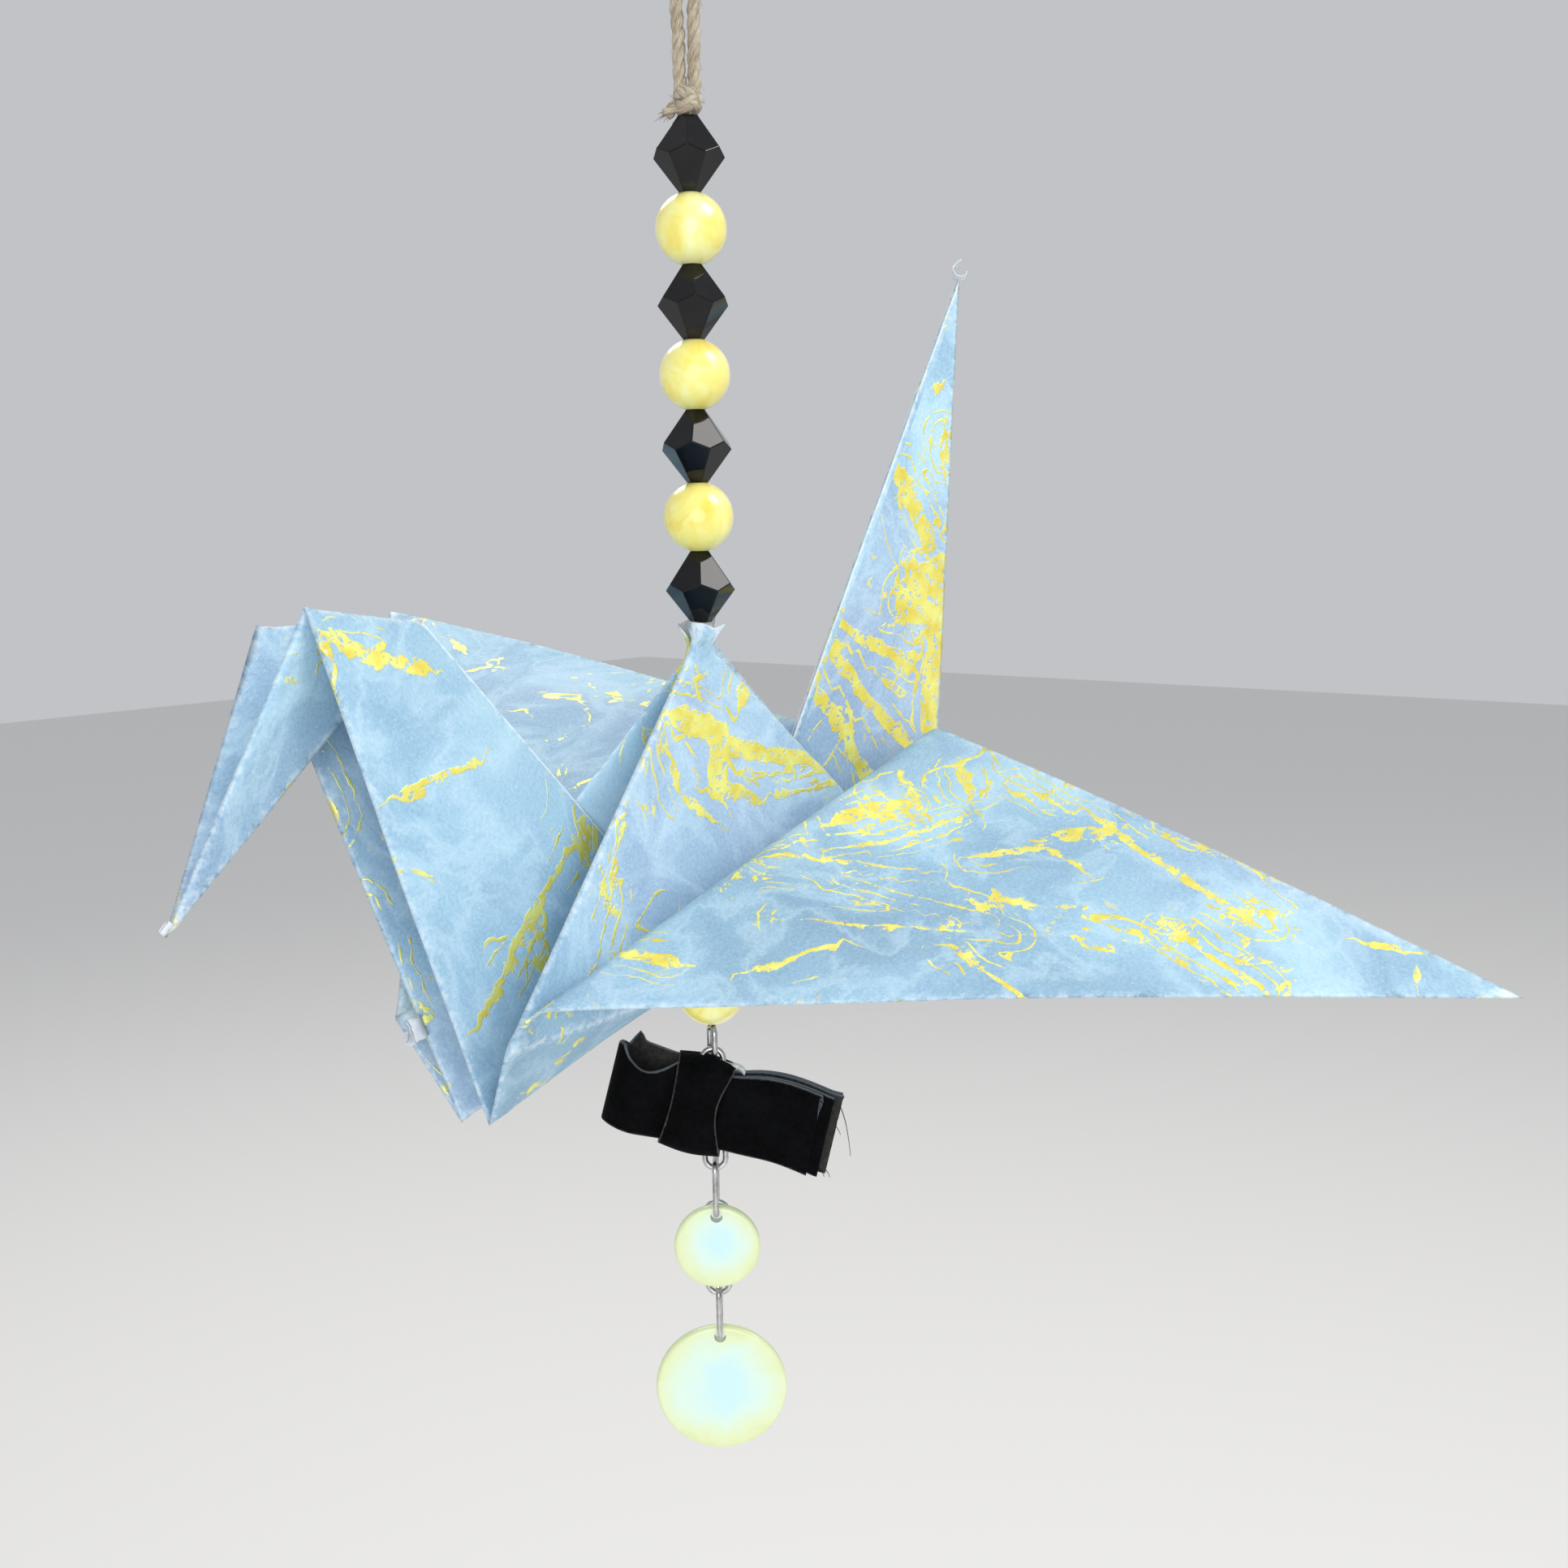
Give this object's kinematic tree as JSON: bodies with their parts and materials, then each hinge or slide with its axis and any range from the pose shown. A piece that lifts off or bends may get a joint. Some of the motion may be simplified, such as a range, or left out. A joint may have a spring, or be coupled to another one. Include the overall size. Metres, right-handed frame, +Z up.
{
  "type": "origami crane hanging ornament",
  "caption": "Folded paper crane threaded on a beaded wire that hangs from a twine loop, with a bead, a velvet ribbon knot and pearly discs on wire links below.",
  "frame": {"origin": "inside top of the twine loop, where a hook bears, on the middle line of the hanging wire", "axes": "+Z up along the hanging wire; the crane's head points to -X, its tail to +X, and its wings to -Y and +Y"},
  "size_m": [0.1112, 0.1704, 0.1879],
  "materials": {
    "marbled_paper": "matt blue-grey marbling with gold veins",
    "twine": "fibrous",
    "wire": "silver coloured",
    "black_glass": "glossy, faceted",
    "yellow_pearl": "pearly",
    "velvet": "black pile",
    "cream_shell": "pearly"
  },
  "bodies": {
    "crane_string": {"hanging_twine": "twine", "twine_knot": "twine", "core_wire": "wire", "black_bead_1": "black_glass", "yellow_bead_1": "yellow_pearl", "black_bead_2": "black_glass", "yellow_bead_2": "yellow_pearl", "black_bead_3": "black_glass", "yellow_bead_3": "yellow_pearl", "black_bead_4": "black_glass", "paper_crane": "marbled_paper", "lower_yellow_bead": "yellow_pearl"},
    "hung_ribbon": {"ribbon_link": "wire", "velvet_ribbon": "velvet"},
    "hung_disc_link": {"disc_link": "wire"},
    "hung_small_disc": {"small_disc": "cream_shell"},
    "hung_long_link": {"long_link": "wire"},
    "hung_drop_link": {"drop_link": "wire"},
    "hung_large_disc": {"large_disc": "cream_shell"}
  },
  "joints": [
    {"name": "ribbon_swing", "type": "hinge", "parent": "crane_string", "child": "hung_ribbon", "pos_m": [0, 0, -0.13525], "axis": [-0.766, -0.6428, 0], "range_deg": [-20, 20]},
    {"name": "disc_link_swing", "type": "hinge", "parent": "hung_ribbon", "child": "hung_disc_link", "pos_m": [0, 0, -0.14947], "axis": [0.6428, -0.766, 0], "range_deg": [-20, 20]},
    {"name": "small_disc_swing", "type": "hinge", "parent": "hung_disc_link", "child": "hung_small_disc", "pos_m": [0, 0, -0.15499], "axis": [-0.766, -0.6428, 0], "range_deg": [-30, 30]},
    {"name": "long_link_swing", "type": "hinge", "parent": "hung_disc_link", "child": "hung_long_link", "pos_m": [0, 0, -0.15499], "axis": [-0.766, -0.6428, 0], "range_deg": [-30, 30]},
    {"name": "drop_link_swing", "type": "hinge", "parent": "hung_long_link", "child": "hung_drop_link", "pos_m": [0.00065, 0.00055, -0.16601], "axis": [0.6428, -0.766, 0], "range_deg": [-20, 20]},
    {"name": "large_disc_swing", "type": "hinge", "parent": "hung_drop_link", "child": "hung_large_disc", "pos_m": [0, 0, -0.17118], "axis": [-0.766, -0.6428, 0], "range_deg": [-30, 30]}
  ]
}
